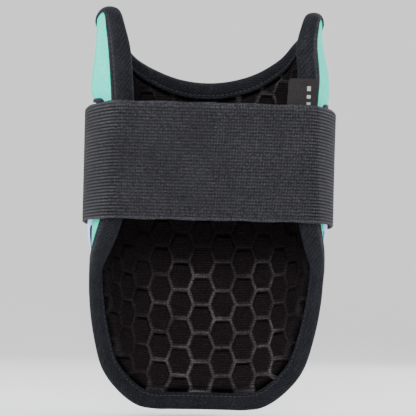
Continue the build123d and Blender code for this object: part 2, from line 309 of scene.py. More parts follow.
def patch(name, line, spacing, depth, back, rings=(), extra=None, values=None):
    """A closed sheet on the wall. depth gives the visible face's depth from chart place and
    border distance; back is the depth of its hidden face."""
    chart, faces, count, away = triangles(line, spacing, rings, extra)
    s, t = chart.T
    size = len(chart)
    under = back(s) if callable(back) else back
    points = np.concatenate([wall(s, t, depth(s, t, away)), wall(s, t, under)])
    sheets = [tuple(f) for f in faces] + [tuple(size + i for i in reversed(f)) for f in faces]
    rim = [((i + 1) % count, i, size + i, size + (i + 1) % count) for i in range(count)]
    kept = values(s, t, away) if values else {}
    doubled = {key: np.concatenate([value, value]) for key, value in kept.items()}
    return new_mesh(name, points, sheets + rim, np.concatenate([chart, chart]), doubled)


def face_out(thing):
    """Turn a closed mesh's faces outwards."""
    bpy.context.view_layer.objects.active = thing
    thing.select_set(True)
    bpy.ops.object.mode_set(mode="EDIT")
    bpy.ops.mesh.select_all(action="SELECT")
    bpy.ops.mesh.normals_make_consistent(inside=False)
    bpy.ops.object.mode_set(mode="OBJECT")
    thing.select_set(False)
    return thing


def tube_grid(rows, columns, wrap_rows, wrap_columns):
    """Quads of a grid of points, rows by columns, closed either way if asked."""
    quads = []
    for i in range(rows if wrap_rows else rows - 1):
        for j in range(columns if wrap_columns else columns - 1):
            k, m = (i + 1) % rows, (j + 1) % columns
            quads.append((i * columns + j, k * columns + j, k * columns + m, i * columns + m))
    return quads


def stitches(name, points, normals, length, thickness):
    """A row of thread stitches: points are the stitch holes, normals lift the thread off the cloth."""
    sides, rows = 6, 5
    verts, faces = [], []
    for i in range(len(points) - 1):
        a, b = points[i], points[i + 1]
        along = b - a
        gap = np.linalg.norm(along)
        if gap < 1e-6 or gap > 3 * length:
            continue
        along = along / gap
        up = normals[i] / np.linalg.norm(normals[i])
        sideways = np.cross(along, up)
        middle = (a + b) / 2
        first = len(verts)
        for r in range(rows):
            share = r / (rows - 1) * 2 - 1
            arch = thickness * (0.9 - 1.3 * share**2)
            radius = thickness * sqrt(max(0.12, 1 - share**4))
            centre = middle + along * share * length / 2 + up * arch
            for k in range(sides):
                angle = 2 * pi * k / sides
                verts.append(centre + radius * (cos(angle) * sideways + sin(angle) * up))
        for r in range(rows - 1):
            for k in range(sides):
                m = (k + 1) % sides
                faces.append((first + r * sides + k, first + r * sides + m,
                              first + (r + 1) * sides + m, first + (r + 1) * sides + k))
        faces.append(tuple(first + k for k in reversed(range(sides))))
        faces.append(tuple(first + (rows - 1) * sides + k for k in range(sides)))
    return new_mesh(name, verts, faces)


def row_on_wall(name, line, depth, outward, pitch=3.0, thread=0.24, closed=True):
    """Stitches along a chart line, on the outer or the inner side of the wall."""
    path = np.vstack([line, line[:1]]) if closed else line
    along = np.concatenate([[0], np.cumsum(np.linalg.norm(np.diff(path, axis=0), axis=1))])
    wanted = np.linspace(0, along[-1], int(along[-1] / pitch) + 1)
    spots = np.stack([np.interp(wanted, along, path[:, k]) for k in (0, 1)], 1)
    if not outward:
        depth = depth + flank_swell(*spots.T)
    here = wall(spots[:, 0], spots[:, 1], depth)
    lifted = wall(spots[:, 0], spots[:, 1], depth - 1 if outward else depth + 1)
    return stitches(name, here, lifted - here, 0.72 * pitch, thread)


# ---------------------------------------------------------------- materials


def srgb(r, g, b):
    """Linear colour from the usual 0 to 255 values."""
    def linear(c):
        c /= 255
        return c / 12.92 if c <= 0.04045 else ((c + 0.055) / 1.055) ** 2.4
    return (linear(r), linear(g), linear(b), 1.0)


class Finish:
    """A procedural material built step by step on one Principled shader."""

    def __init__(self, name, colour, roughness, sheen=0.0, coat=0.0, specular=0.5, sheen_tint=None):
        self.material = bpy.data.materials.new(name)
        self.material.use_nodes = True
        self.tree = self.material.node_tree
        self.shader = self.tree.nodes["Principled BSDF"]
        self.colour = colour
        self.shader.inputs["Base Color"].default_value = colour
        self.shader.inputs["Roughness"].default_value = roughness
        self.shader.inputs["Sheen Weight"].default_value = sheen
        self.shader.inputs["Sheen Roughness"].default_value = 0.45
        if sheen_tint:
            self.shader.inputs["Sheen Tint"].default_value = sheen_tint
        self.shader.inputs["Coat Weight"].default_value = coat
        self.shader.inputs["Coat Roughness"].default_value = 0.25
        self.shader.inputs["Specular IOR Level"].default_value = specular
        self.height = None

    def node(self, kind, **settings):
        made = self.tree.nodes.new(kind)
        for key, value in settings.items():
            setattr(made, key, value)
        return made

    def link(self, start, end):
        self.tree.links.new(start, end)

    def maths(self, operation, a, b=None):
        made = self.node("ShaderNodeMath", operation=operation)
        for socket, value in zip(made.inputs, (a, b)):
            if value is None:
                continue
            if isinstance(value, (int, float)):
                socket.default_value = value
            else:
                self.link(value, socket)
        return made.outputs[0]

    def chart(self):
        """The chart's two coordinates, in millimetres."""
        split = self.node("ShaderNodeSeparateXYZ")
        self.link(self.node("ShaderNodeUVMap", uv_map="chart").outputs[0], split.inputs[0])
        return split.outputs[0], split.outputs[1]

    def wave(self, coordinate, pitch):
        """0 to 1 ripple along a coordinate."""
        turn = self.maths("SINE", self.maths("MULTIPLY", coordinate, 2 * pi / pitch))
        return self.maths("ADD", self.maths("MULTIPLY", turn, 0.5), 0.5)

    def noise(self, scale, detail=2.0, rough=0.5):
        """Noise in object space, scale in features per metre."""
        where = self.node("ShaderNodeTexCoord").outputs["Object"]
        made = self.node("ShaderNodeTexNoise")
        made.inputs["Scale"].default_value = scale
        made.inputs["Detail"].default_value = detail
        made.inputs["Roughness"].default_value = rough
        self.link(where, made.inputs["Vector"])
        return made.outputs["Fac"]

    def ramp(self, value, low, high, dark, light):
        """Map value from low..high to dark..light."""
        made = self.node("ShaderNodeMapRange")
        for socket, number in zip(list(made.inputs)[1:5], (low, high, dark, light)):
            socket.default_value = number
        self.link(value, made.inputs[0])
        return made.outputs[0]

    def tint(self, factor):
        """Multiply the base colour by a factor."""
        made = self.node("ShaderNodeMix", data_type="RGBA", blend_type="MULTIPLY")
        made.inputs["Factor"].default_value = 1.0
        made.inputs[6].default_value = self.colour
        self.link(factor, made.inputs[7])
        self.link(made.outputs[2], self.shader.inputs["Base Color"])

    def mix(self, factor, other):
        """Mix the base colour towards another one."""
        base = self.shader.inputs["Base Color"]
        made = self.node("ShaderNodeMix", data_type="RGBA")
        if base.is_linked:
            self.link(base.links[0].from_socket, made.inputs[6])
        else:
            made.inputs[6].default_value = self.colour
        made.inputs[7].default_value = other
        self.link(factor, made.inputs["Factor"])
        self.link(made.outputs[2], base)

    def rough(self, value):
        self.link(value, self.shader.inputs["Roughness"])

    def bump(self, height, distance):
        """Add a bump of that many millimetres."""
        made = self.node("ShaderNodeBump")
        made.inputs["Distance"].default_value = distance * MM
        made.inputs["Strength"].default_value = 1.0
        self.link(height, made.inputs["Height"])
        normal = self.shader.inputs["Normal"]
        if normal.is_linked:
            self.link(normal.links[0].from_socket, made.inputs["Normal"])
        self.link(made.outputs[0], normal)


def twill(finish, pitch, depth):
    """Diagonal woven cloth: fine slanted ribs broken by the cross threads."""
    u, v = finish.chart()
    slanted = finish.wave(finish.maths("ADD", v, finish.maths("MULTIPLY", u, 0.45)), pitch)
    crossed = finish.wave(finish.maths("SUBTRACT", u, finish.maths("MULTIPLY", v, 0.3)), pitch * 0.8)
    cloth = finish.maths("MULTIPLY", slanted, finish.ramp(crossed, 0, 1, 0.55, 1))
    finish.bump(cloth, depth)
    return cloth


def mint_cloth():
    f = Finish("mint_cloth", srgb(2, 216, 192), 0.75, sheen=0.0, specular=0.1)
    cloth = twill(f, 1.7, 0.22)
    wear = f.ramp(f.noise(60, 3), 0.3, 0.7, 0.9, 1.06)
    grain = f.ramp(f.noise(700, 3, 0.7), 0.35, 0.65, 0.86, 1.1)
    ribs = f.ramp(cloth, 0.0, 1.0, 0.68, 1.3)
    f.tint(f.maths("MULTIPLY", f.maths("MULTIPLY", ribs, wear), grain))
    f.rough(f.ramp(f.noise(900, 2), 0.3, 0.7, 0.6, 0.75))
    return f.material


def binding_cloth():
    f = Finish("binding_cloth", srgb(12, 13, 17), 0.8, sheen=0.05, specular=0.1,
               sheen_tint=srgb(150, 160, 190))
    cloth = twill(f, 1.6, 0.2)
    lint = f.ramp(f.noise(1100, 3, 0.75), 0.52, 0.74, 0.0, 0.32)
    wear = f.ramp(f.noise(90, 3), 0.3, 0.7, 0.7, 1.25)
    f.tint(f.maths("MULTIPLY", f.ramp(cloth, 0.0, 1.0, 0.4, 2.0), wear))
    f.mix(lint, srgb(72, 76, 86))
    f.rough(f.ramp(f.noise(250, 2), 0.3, 0.7, 0.68, 0.85))
    return f.material


def lining_knit():
    f = Finish("lining_knit", srgb(15, 12, 13), 0.95, specular=0.04)
    u, v = f.chart()
    rows = f.wave(v, 1.45)
    wales = f.wave(u, 0.95)
    # The pale lines read here are also darkened by painted shadow of the strap.
    line = f.node("ShaderNodeAttribute", attribute_name="line").outputs["Fac"]
    speck = f.ramp(f.noise(1300, 3, 0.8), 0.42, 0.72, 0.5, 3.0)
    # Painted shade read here: a dark band along the upper edge of each hexagon, under the line above it,
    # and a painted shadow in the groove between the pad and the binding.
    crease = f.node("ShaderNodeAttribute", attribute_name="crease").outputs["Fac"]
    knit = f.maths("MULTIPLY", f.ramp(rows, 0.0, 1.0, 0.7, 1.3), speck)
    f.tint(f.maths("MULTIPLY", knit, f.ramp(crease, 0.0, 0.8, 1.0, 0.02)))
    stretched = f.maths("MULTIPLY", line, f.ramp(rows, 0.1, 0.9, 0.6, 1.0))
    grain = f.maths("MULTIPLY", stretched, f.ramp(f.noise(1100, 3, 0.7), 0.38, 0.64, 0.15, 1.3))
    patchy = f.maths("MULTIPLY", grain, f.ramp(f.noise(80, 2), 0.35, 0.65, 0.45, 1.0))
    f.mix(patchy, srgb(92, 87, 91))
    f.bump(rows, 0.16)
    f.bump(wales, 0.05)
    f.bump(f.maths("SUBTRACT", 1.0, line), 0.5)
    return f.material


def strap_elastic():
    f = Finish("strap_elastic", srgb(25, 25, 28), 0.85, sheen=0.045, specular=0.14,
               sheen_tint=srgb(170, 170, 178))
    u, v = f.chart()
    threads = f.wave(u, 1.5)
    crossing = f.wave(f.maths("ADD", v, f.maths("MULTIPLY", u, 0.5)), 0.88)
    fuzz = f.ramp(f.noise(950, 3, 0.85), 0.36, 0.66, 0.22, 2.0)
    dust = f.ramp(f.noise(45, 3), 0.35, 0.7, 0.86, 1.2)
    # The attribute read here is painted light: painted shade in the valleys between the ribs and painted
    # highlight on the crests where the strap wraps round the flanks, with a lighter line along both
    # edges.
    valley = f.node("ShaderNodeAttribute", attribute_name="rib_painted_light").outputs["Fac"]
    shade = f.maths("MULTIPLY", f.ramp(threads, 0.0, 1.0, 0.55, 1.2), f.maths("MULTIPLY", fuzz, dust))
    f.tint(f.maths("MULTIPLY", shade, f.ramp(valley, 0.1, 1.7, 0.02, 3.25)))
    f.bump(f.maths("MULTIPLY", threads, crossing), 0.2)
    return f.material


def plate_plastic():
    f = Finish("plate_plastic", srgb(186, 197, 252), 0.38, coat=0.2, specular=0.45)
    f.tint(f.ramp(f.noise(45, 3), 0.3, 0.7, 0.95, 1.03))
    f.bump(f.noise(2600, 2, 0.6), 0.03)
    f.rough(f.ramp(f.noise(140, 3), 0.3, 0.7, 0.32, 0.46))
    return f.material


def navy_cloth():
    f = Finish("navy_cloth", srgb(9, 12, 30), 0.8, sheen=0.03, specular=0.1)
    cloth = twill(f, 0.9, 0.08)
    f.tint(f.ramp(cloth, 0.0, 1.0, 0.6, 1.4))
    f.rough(f.ramp(f.noise(400, 2), 0.3, 0.7, 0.65, 0.8))
    return f.material


def label_ribbon():
    f = Finish("label_ribbon", srgb(26, 24, 25), 0.75, sheen=0.04, specular=0.12)
    u, v = f.chart()
    weft = f.wave(v, 1.1)
    warp = f.wave(u, 0.8)
    grain = f.ramp(f.noise(1500, 2), 0.3, 0.7, 0.7, 1.35)
    f.tint(f.maths("MULTIPLY", f.ramp(f.maths("ADD", weft, warp), 0.0, 2.0, 0.72, 1.25), grain))
    f.bump(f.maths("MULTIPLY", weft, warp), 0.08)
    return f.material


def thread(name, colour):
    f = Finish(name, colour, 0.6, sheen=0.05, specular=0.3)
    f.tint(f.ramp(f.noise(3000, 2), 0.3, 0.7, 0.75, 1.25))
    f.bump(f.noise(5000, 1), 0.04)
    return f.material


def pile_tape(name, colour, depth):
    """Hook or loop tape: a dense field of small tufts."""
    f = Finish(name, colour, 0.9, sheen=0.08, specular=0.15)
    cells = f.node("ShaderNodeTexVoronoi")
    cells.inputs["Scale"].default_value = 900
    f.link(f.node("ShaderNodeTexCoord").outputs["Object"], cells.inputs["Vector"])
    f.tint(f.ramp(cells.outputs["Distance"], 0.0, 0.8, 1.5, 0.4))
    f.bump(f.maths("SUBTRACT", 1.0, cells.outputs["Distance"]), depth)
    return f.material


def soft_rubber():
    f = Finish("soft_rubber", srgb(22, 23, 27), 0.55, specular=0.35)
    f.tint(f.ramp(f.noise(300, 3), 0.3, 0.7, 0.8, 1.2))
    f.bump(f.noise(2200, 2), 0.03)
    return f.material


MINT = mint_cloth()
BOUND = binding_cloth()
KNIT = lining_knit()
ELASTIC = strap_elastic()
PLATE = plate_plastic()
NAVY = navy_cloth()
RIBBON = label_ribbon()
DARK_THREAD = thread("dark_thread", srgb(30, 32, 36))
MINT_THREAD = thread("mint_thread", srgb(60, 205, 176))
PALE_THREAD = thread("pale_thread", srgb(150, 152, 160))
MARK_THREAD = thread("mark_thread", srgb(128, 128, 134))
LOOP = pile_tape("loop_pile", srgb(30, 30, 33), 0.5)
HOOK = pile_tape("hook_pile", srgb(26, 26, 28), 0.35)
RUBBER = soft_rubber()


def place(thing, material, body, slot, *nodes):
    """Give a piece its material and body, and hide the CAD nodes that it stands for. The slot argument is
    not used.
    """
    thing.data.materials.clear()
    thing.data.materials.append(material)
    if body:
        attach(thing, body)
    if nodes:
        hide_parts(*nodes)
    return thing


# ---------------------------------------------------------------- camera and studio

EYE = Vector((-0.0593, -0.9982, 0.049))
LOOK_YAW, LOOK_PITCH, LOOK_ROLL = radians(3.4), radians(3.8), radians(1.2)
LENS = 153.9

camera = bpy.data.objects.new("camera", bpy.data.cameras.new("camera"))
bpy.context.scene.collection.objects.link(camera)
direction = Vector((sin(LOOK_YAW) * cos(LOOK_PITCH), cos(LOOK_YAW) * cos(LOOK_PITCH), sin(LOOK_PITCH)))
turned = direction.to_track_quat("-Z", "Y") @ Quaternion((0, 0, 1), LOOK_ROLL)
camera.matrix_world = Matrix.Translation(EYE) @ turned.to_matrix().to_4x4()
camera.data.lens = LENS
camera.data.sensor_width = 36.0
camera.data.clip_end = 50
bpy.context.scene.camera = camera


def lamp(name, place_at, aim, size, power, colour=(1, 1, 1)):
    light = bpy.data.lights.new(name, "AREA")
    light.shape = "RECTANGLE"
    light.size, light.size_y = size
    light.energy = power
    light.color = colour
    thing = bpy.data.objects.new(name, light)
    bpy.context.scene.collection.objects.link(thing)
    thing.location = place_at
    thing.rotation_euler = (Vector(aim) - Vector(place_at)).to_track_quat("-Z", "Y").to_euler()
    return thing


FLOOR_Z = -3.0
FLOOR_RADIUS = 1800
BOWL_RADIUS = 1700
BACKDROP_TOP = 2600
FLOOR_SIDES = 64


def studio():
    """Pale floor that curves up all round, pale world and large soft lights."""
    profile = [(1, FLOOR_Z), (FLOOR_RADIUS, FLOOR_Z)]
    for k in range(1, 17):
        angle = pi / 2 * k / 16
        rim = FLOOR_RADIUS + BOWL_RADIUS * sin(angle)
        profile.append((rim, FLOOR_Z + BOWL_RADIUS * (1 - cos(angle))))
    profile.append((FLOOR_RADIUS + BOWL_RADIUS, FLOOR_Z + BACKDROP_TOP))
    turns = [2 * pi * k / FLOOR_SIDES for k in range(FLOOR_SIDES)]
    points = [(r * cos(a), r * sin(a), z) for r, z in profile for a in turns]
    faces = tube_grid(len(profile), FLOOR_SIDES, False, True) + [tuple(range(FLOOR_SIDES))]
    floor = new_mesh("floor", points, faces)
    pale = bpy.data.materials.new("pale_floor")
    pale.use_nodes = True
    shader = pale.node_tree.nodes["Principled BSDF"]
    shader.inputs["Base Color"].default_value = (0.88, 0.88, 0.88, 1)
    shader.inputs["Roughness"].default_value = 0.9
    floor.data.materials.append(pale)
    world = bpy.data.worlds.new("studio")
    world.use_nodes = True
    sky = world.node_tree.nodes["Background"]
    sky.inputs["Color"].default_value = (1, 1, 1, 1)
    sky.inputs["Strength"].default_value = 1.0
    bpy.context.scene.world = world
    middle = (0, 0, 0.11)
    lamp("key_light", (-0.2, -1.75, 0.42), middle, (0.7, 0.5), 38)
    lamp("left_light", (-1.15, -0.3, 0.35), middle, (0.7, 1.1), 18)
    lamp("right_light", (1.15, -0.25, 0.35), middle, (0.7, 1.1), 9.5)
    lamp("front_light", (0.95, 1.25, 0.85), middle, (0.8, 0.7), 13)
    lamp("top_light", (0, 0.15, 1.4), middle, (1.2, 1.2), 10)


studio()

# ---------------------------------------------------------------- lining

HEX_COLUMN = 14.3
HEX_ROW = 16.5
HEX_EDGE = 10.6
HEX_FIRST_Z = 18.1
HEX_LINE = 1.9


def hex_line(s, t):
    """1 on the lines between the hexagons, falling to 0 on the hexagons."""
    origin = CHART_RADIUS * asin((HEX_FIRST_Z - BEND_Z) / (FRONT_CENTRE_Y + FRONT_RADIUS - BEND_Y))
    best = np.full(np.shape(s), -1e9)
    side_run = HEX_COLUMN - HEX_EDGE
    slope = hypot(HEX_ROW / 2, side_run)
    nearest = np.round(s / HEX_COLUMN)
    for shift in (-1, 0, 1):
        column = nearest + shift
        x = np.abs(s - column * HEX_COLUMN)
        lift = origin + np.where(column % 2 == 1, HEX_ROW / 2, 0)
        y = np.abs((t - lift + HEX_ROW / 2) % HEX_ROW - HEX_ROW / 2)
        to_edge = HEX_ROW / 2 - y
        to_side = ((HEX_EDGE / 2 + side_run - x) * HEX_ROW / 2 - y * side_run) / slope
        best = np.maximum(best, np.minimum(to_edge, to_side))
    return 1 - np.clip((best - HEX_LINE / 2 + 0.35) / 0.9, 0, 1)


def lining_depth(s, t, away):
    edge = EDGE_LINING_DEPTH + flank_swell(s, t) - 0.7 * hump(away, 8.2, 1.0)
    pad = edge + (PAD_DEPTH - edge) * rise(away, 8.0, 10.6)
    cells = HEX_RISE * (1 - hex_line(s, t)) * rise(away, 9.6, 12.6)
    return pad + cells * (1 - 0.75 * rise(np.abs(s), 88, 112))


def lining_values(s, t, away):
    """How pale the knit is stretched over the lines, darkened by painted shadow of the strap, and the
    painted shade in the creases under the lines and in the groove along the binding.
    """
    # Lines paler near the middle and fainter towards both flanks.
    fainter_towards_flanks = 1 - 0.85 * rise(np.abs(s - 9), 33, 58)
    clouds = 0.72 + 0.28 * np.sin(s / 9 + 1.3 * np.sin(t / 13)) * np.sin(t / 11 + 0.7)
    # Painted shadow of the strap: the lines are darkened behind the strap and in a band just below it.
    painted_strap_shadow = 1 - 0.9 * rise(t, -34, -14) * (1 - rise(t, 64, 76))
    # Lines fainter above the strap, except on the right.
    above_strap = 1 - 0.75 * rise(t, 60, 70) * (1 - rise(s, 0, 34))
    line = hex_line(s, t)
    # Painted shade: a dark band just under each line, and a painted shadow in the groove between the pad
    # and the binding.
    painted_shade_below_lines = np.clip(hex_line(s, t + 1.5) - line, 0, 1) * (0.6 + 0.4 * np.sin(s / 7 + t / 10))
    crease = np.maximum(painted_shade_below_lines, hump(away, 8.2, 1.1))
    return {"line": line * fainter_towards_flanks * clouds * painted_strap_shadow * above_strap, "crease": crease}


lining = patch(
    "pad_lining", inset(EDGE, COVER_INSET), 0.82, lining_depth, 4.4,
    rings=(1.5, 3.0, 4.5, 5.8, 6.8, 7.5, 8.1, 8.7, 9.3, 9.9, 10.6), values=lining_values,
)
place(
    lining, KNIT, "guard", "lining_knit",
    "lining", "hex_cells", "comfort_foam", "impact_foam", "hard_shell",
)

# ---------------------------------------------------------------- outer fabric

SEAM_ANGLE = 52
SEAM_S = FRONT_ARC + CORNER_RADIUS * (radians(SEAM_ANGLE) - FRONT_TURN)
BULGE_LEFT = 2.4
BULGE_RIGHT = 1.3
BULGE_FROM_T = 69
BULGE_FULL_T = 77


def cut_loop(line, low, high, spacing=1.5):
    """The part of a closed chart region between two values of s."""
    kept = []
    for a, b in zip(line, np.roll(line, -1, 0)):
        if low <= a[0] <= high:
            kept.append(a)
        for bound in (low, high):
            if (a[0] - bound) * (b[0] - bound) < 0:
                share = (bound - a[0]) / (b[0] - a[0])
                kept.append(a + share * (b - a))
    return even_loop(np.array(kept), spacing)


def flank_bulge(s, t):
    """How far the foam under the flank's fabric pushes it out, above the plate."""
    amount = np.where(s < 0, BULGE_LEFT, BULGE_RIGHT)
    top = np.where(s < 0, 112, 106)
    along = rise(t, BULGE_FROM_T, BULGE_FULL_T) * (1 - rise(t, BULGE_FULL_T, top))
    return amount * along * rise(np.abs(s), 62, 82) * (1 - rise(np.abs(s), 104, 124))


def cover_depth(s, t, away):
    return 0.54 * (1 - rise(away, 0.0, 0.9)) - flank_bulge(s, t) * rise(away, 1.0, 9.0)


cover_edge = inset(EDGE, COVER_INSET)
for name, low, high in (
    ("cover_left", -400, -SEAM_S), ("cover_front", -SEAM_S, SEAM_S), ("cover_right", SEAM_S, 400)
):
    outline = cut_loop(cover_edge, low, high)
    cloth = patch(name + "_cloth", outline, 3.0, cover_depth, 0.9, rings=(0.3, 0.7, 1.2, 2.2))
    place(cloth, MINT, "guard", "mint_fabric", name)

for side_sign, side_name in ((-1, "left"), (1, "right")):
    seam = np.array([(side_sign * (SEAM_S + 2.2), t) for t in np.linspace(-100, 105, 60)])
    inner_part = seam[Border(EDGE).depth(seam) > 9.5]
    row = row_on_wall(f"seam_stitches_{side_name}", inner_part, -0.02, True, 2.8, 0.2, closed=False)
    place(row, MINT_THREAD, "guard", "mint_fabric")

# ---------------------------------------------------------------- binding

BEAD_MIDDLE = EDGE_LINING_DEPTH / 2
BEAD_HALF = EDGE_LINING_DEPTH / 2 + BINDING
OUTER_STITCH = 4.8
INNER_STITCH = 7.0
NARROW = 0.12


def binding_profile():
    """Cross-section of the folded tape, as distances in from the edge and depths."""
    outer = [(9.1, -0.12), (9.25, -0.4), (9.1, -0.72), (8.6, -0.88), (7.0, -0.94), (5.8, -0.88),
             (5.2, -0.66), (OUTER_STITCH, -0.52), (4.4, -0.66), (3.8, -0.9)]
    turn = []
    for k in range(13):
        angle = pi * k / 12
        turn.append((3.1 * (1 - sin(angle)) - 0.1, BEAD_MIDDLE - BEAD_HALF * cos(angle)))
    inner = [(4.2, 6.15), (5.6, 6.1), (6.5, 5.95), (INNER_STITCH, 5.75), (7.4, 5.95), (7.9, 6.3),
             (8.5, 6.45), (8.95, 6.2), (9.05, 5.85), (8.9, 5.5), (8.4, 5.3)]
    lining_side = [(5.0, 5.25), (1.6, 5.2), (1.3, 2.6), (1.6, 0.0), (5.0, -0.03)]
    return outer + turn + inner + lining_side


def narrowed(distance, rim):
    """Distance in from the edge, pulled towards the bead where the lip is narrow."""
    return distance - np.maximum(0, distance - 3.0) * (1 - NARROW) * rim


def binding():
    normal = inward(soften(EDGE, 30))
    profile = binding_profile()
    count, sides = len(EDGE), len(profile)
    swell = flank_swell(*EDGE.T)
    rim = top_rim(*EDGE.T)
    along = np.arange(count) * EDGE_STEP
    pucker = np.sin(2 * pi * along / 6.0 + 0.8 * np.sin(along / 31))
    rng = np.random.default_rng(7)
    drift = np.convolve(np.tile(rng.normal(0, 1, count), 3), np.hanning(25), "same")[count:2 * count]
    drift *= 0.14 / np.abs(drift).max()
    grid = np.empty((count, sides, 3))
    chart = np.empty((count, sides, 2))
    girth = 0.0
    for k, (distance, depth) in enumerate(profile):
        if k:
            girth += hypot(distance - profile[k - 1][0], depth - profile[k - 1][1])
        outside = depth < BEAD_MIDDLE
        near_row = hump(distance, OUTER_STITCH if outside else INNER_STITCH, 1.6)
        lift = (-1 if outside else 1) * 0.07 * pucker * near_row + drift
        inside = narrowed(distance, rim) if outside else np.full(count, distance)
        here = EDGE + normal * inside[:, None]
        deep = depth + lift + swell * np.clip(depth / EDGE_LINING_DEPTH, 0, 1)
        grid[:, k] = wall(here[:, 0], here[:, 1], deep)
        chart[:, k, 0] = along
        chart[:, k, 1] = girth
    faces = tube_grid(count, sides, True, True)
    return face_out(new_mesh("edge_binding_tape", grid.reshape(-1, 3), faces, chart.reshape(-1, 2)))


place(binding(), BOUND, "guard", "binding_fabric", "edge_binding")
edge_normal = inward(soften(EDGE, 30))
outer_row = EDGE + edge_normal * narrowed(OUTER_STITCH, top_rim(*EDGE.T))[:, None]
outer_thread = row_on_wall("binding_stitches_outer", outer_row, -0.56, True)
place(outer_thread, DARK_THREAD, "guard", "binding_fabric")
inner_row = EDGE + edge_normal * INNER_STITCH
inner_thread = row_on_wall("binding_stitches_inner", inner_row, 5.78, False)
place(inner_thread, DARK_THREAD, "guard", "binding_fabric")

# ---------------------------------------------------------------- front plate and its backing

PLATE_TOP_Z = 173.2
SLOT_ANGLE = 58.0
SLOT_HALF_WIDTH = 1.7
SLOT_LOW_Z = 104.6
SLOT_HIGH_Z = 170.0
SHOULDER_S = 92.0
SHOULDER_DROP = 0.11
CHANNEL_PITCH = 34
CHANNEL_SHIFT = 12
PLATE_GROOVE = 4.0


def corner_chart(angle):
    """s of a turn angle on the right corner."""
    return FRONT_ARC + CORNER_RADIUS * (radians(angle) - FRONT_TURN)


def level(s, z):
    """t of a level height at s."""
    return CHART_RADIUS * np.arcsin((z - BEND_Z) / (section(s, 0.0)[1] - BEND_Y))


def plate_loop(border, top_z, rounding):
    """Outline of a front piece: a border inside the guard's edge, and a top that is level, drops
    beyond the shoulders, and follows the notch where that is lower."""

    def top_line(s):
        return level(s, top_z) - SHOULDER_DROP * np.maximum(0, np.abs(s) - SHOULDER_S)

    ring = EDGE + edge_normal * border(*EDGE.T)[:, None]
    ring = ring[Border(EDGE).depth(ring) > 8]
    notch = ring[(ring[:, 1] > 40) & (np.abs(ring[:, 0]) < 56)]
    notch = notch[np.argsort(notch[:, 0])]
    rest = ring[(ring[:, 1] <= 40) | (np.abs(ring[:, 0]) >= 56)]
    kept = rest[rest[:, 1] < top_line(rest[:, 0]) - 1]
    right = kept[kept[:, 0] > 0]
    left = kept[kept[:, 0] <= 0]
    right = right[np.argsort(right[:, 1] + 0.2 * right[:, 0])]
    left = left[np.argsort(0.2 * left[:, 0] - left[:, 1])]
    top = np.linspace(right[-1, 0], left[0, 0], 120)
    dipped = np.interp(top, notch[:, 0], notch[:, 1], left=999, right=999)
    line = np.vstack([right, np.stack([top, np.minimum(top_line(top), dipped)], 1), left])
    return even_loop(soften(even_loop(line, 1.5), rounding), 1.5)


def on_flank(s):
    return rise(np.abs(s), 62, 84)


def plate_border(s, t):
    return 20 + 6 * on_flank(s) * rise(t, -60, -25)


def trim_border(s, t):
    return 17.5 + 11 * on_flank(s) * hump(t, -14, 24)


def bevelled(low, high, width):
    """Depth from low at the border to high inside, with a rounded edge."""
    def depth(s, t, away):
        share = np.clip(away / width, 0, 1)
        return low + (high - low) * np.sqrt(1 - (1 - share) ** 2)
    return depth


SLOT_S = -corner_chart(SLOT_ANGLE)
SLOT_T = level(SLOT_S, (SLOT_LOW_Z + SLOT_HIGH_Z) / 2)
SLOT_HALF_HEIGHT = (level(SLOT_S, SLOT_HIGH_Z) - level(SLOT_S, SLOT_LOW_Z)) / 2


def slot_distance(s, t):
    """Distance from the strap's slot, negative inside it."""
    painted_shade_below_lines = np.abs(s - SLOT_S) - SLOT_HALF_WIDTH
    above = np.abs(t - SLOT_T) - SLOT_HALF_HEIGHT
    outside = np.hypot(np.maximum(painted_shade_below_lines, 0), np.maximum(above, 0))
    return outside + np.minimum(np.maximum(painted_shade_below_lines, above), 0)


def plate_depth(s, t, away):
    base = bevelled(-0.05, PLATE_DEPTH, 1.9)(s, t, away)
    groove = 0.5 * hump(away, PLATE_GROOVE, 0.75)
    panel = -1.5 * rise(away, 11.0, 12.6) * (1 - rise(np.abs(s), 50, 52))
    within = rise(away, 14.0, 17.0) * (1 - rise(np.abs(s), 41, 45))
    from_channel = (t + CHANNEL_SHIFT) % CHANNEL_PITCH - CHANNEL_PITCH / 2
    channels = 1.1 * within * hump(from_channel, 0, 2.4)
    apart = slot_distance(s, t)
    lip = -0.8 * hump(apart, 1.5, 1.0)
    outer = base + groove + panel + channels + lip
    return outer + (-0.2 - outer) * (1 - rise(apart, -0.5, 0.3))


def round_slot():
    """Chart points that draw the slot sharply."""
    along = np.arange(SLOT_S - 5, SLOT_S + 5.01, 0.5)
    up = np.arange(SLOT_T - SLOT_HALF_HEIGHT - 4, SLOT_T + SLOT_HALF_HEIGHT + 4, 0.8)
    grid = np.stack(np.meshgrid(along, up), -1).reshape(-1, 2)
    return grid + 0.013 * np.sin(grid * 7.1)


trim = patch("plate_backing", plate_loop(trim_border, PLATE_TOP_Z + 2.2, 30), 4.0,
             bevelled(-0.1, TRIM_DEPTH, 0.9), 0.1, rings=(0.2, 0.5, 0.9, 1.6, 2.4))
place(trim, NAVY, "guard", "navy_trim", "plate_trim")
PLATE_LOOP = plate_loop(plate_border, PLATE_TOP_Z, 32)
plate = patch(
    "moulded_plate", PLATE_LOOP, 2.2, plate_depth, 0.05,
    rings=(0.12, 0.4, 0.8, 1.2, 1.6, 2.0, 2.6, 3.1, 3.6, 4.0, 4.4, 4.9,
           6.0, 8.0, 10.5, 11.5, 12.5, 13.5, 14.5),
    extra=round_slot(),
)
place(plate, PLATE, "guard", "plate_plastic", "front_plate")
groove_line = inset(PLATE_LOOP, PLATE_GROOVE)
plate_thread = row_on_wall("plate_stitches", groove_line, PLATE_DEPTH + 0.5, True, 3.2, 0.26)
place(plate_thread, PALE_THREAD, "guard", "plate_plastic")

# ---------------------------------------------------------------- strap

